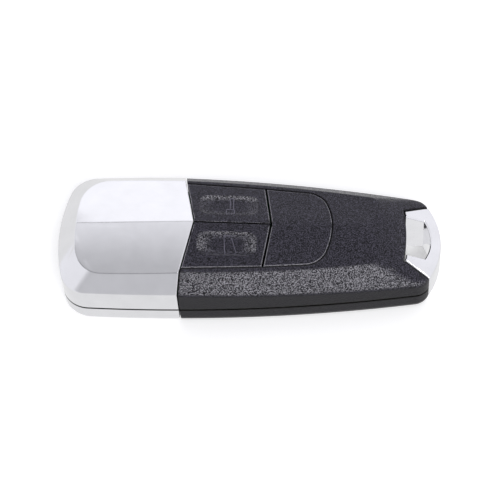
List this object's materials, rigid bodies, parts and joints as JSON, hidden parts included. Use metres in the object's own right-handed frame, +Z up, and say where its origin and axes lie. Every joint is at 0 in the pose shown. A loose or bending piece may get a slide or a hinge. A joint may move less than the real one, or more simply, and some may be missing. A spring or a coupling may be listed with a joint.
{
  "type": "car key fob",
  "caption": "Remote key fob: plated cap, grained black shells, sprung lock and unlock buttons, blank panel, and a keyring bow that draws out with a spare blade.",
  "frame": {"origin": "middle of the flat underside, at the centre of the overall box in plan", "axes": "+X from the plated cap to the keyring bow, +Y across the fob, +Z up out of the buttons"},
  "size_m": [0.078, 0.0296, 0.0145],
  "materials": {
    "chrome_plating": "bright plated, polished",
    "black_plastic": "fine grained, satin",
    "button_plastic": "fine grained, satin",
    "seal_rubber": "matt",
    "keypad_rubber": "matt",
    "frame_plastic": "moulded",
    "blade_steel": "milled and brushed",
    "spring_steel": "rolled",
    "cell_steel": "pressed, nickel plated",
    "board": "solder mask",
    "chip": "moulded",
    "switch_metal": "pressed",
    "ferrite": "sintered",
    "copper": "enamelled wire",
    "tin": "tinned ends"
  },
  "bodies": {
    "body": {"upper_shell": "black_plastic", "lower_shell": "black_plastic", "blank_panel": "button_plastic", "chrome_cap_upper": "chrome_plating", "chrome_cap_lower": "chrome_plating", "perimeter_seal": "seal_rubber", "keypad_membrane": "keypad_rubber", "unlock_dome": "keypad_rubber", "lock_dome": "keypad_rubber", "key_detent_spring": "spring_steel", "inner_frame": "frame_plastic", "coin_cell": "cell_steel", "battery_contact_positive": "spring_steel", "battery_contact_negative": "spring_steel", "circuit_board": "board", "board_screws": "blade_steel", "unlock_switch": "switch_metal", "lock_switch": "switch_metal", "controller_chip": "chip", "radio_chip": "chip", "crystal": "switch_metal", "passives": "tin", "antenna_core": "ferrite", "antenna_winding": "copper", "transponder": "chip"},
    "unlock_button": {"button_unlock": "button_plastic"},
    "lock_button": {"button_lock": "button_plastic"},
    "key": {"keyring_bow": "chrome_plating", "emergency_blade": "blade_steel", "blade_pin": "blade_steel"}
  },
  "joints": [
    {"name": "unlock_press", "type": "slide", "parent": "body", "child": "unlock_button", "axis": [0, 0, -1], "range_m": [0, 0.0005], "stiffness_N_per_m": 2000, "deforming": ["unlock_dome"]},
    {"name": "lock_press", "type": "slide", "parent": "body", "child": "lock_button", "axis": [0, 0, -1], "range_m": [0, 0.0005], "stiffness_N_per_m": 2000, "deforming": ["lock_dome"]},
    {"name": "key_slide", "type": "slide", "parent": "body", "child": "key", "axis": [1, 0, 0], "range_m": [0, 0.052], "deforming": ["key_detent_spring"]}
  ]
}
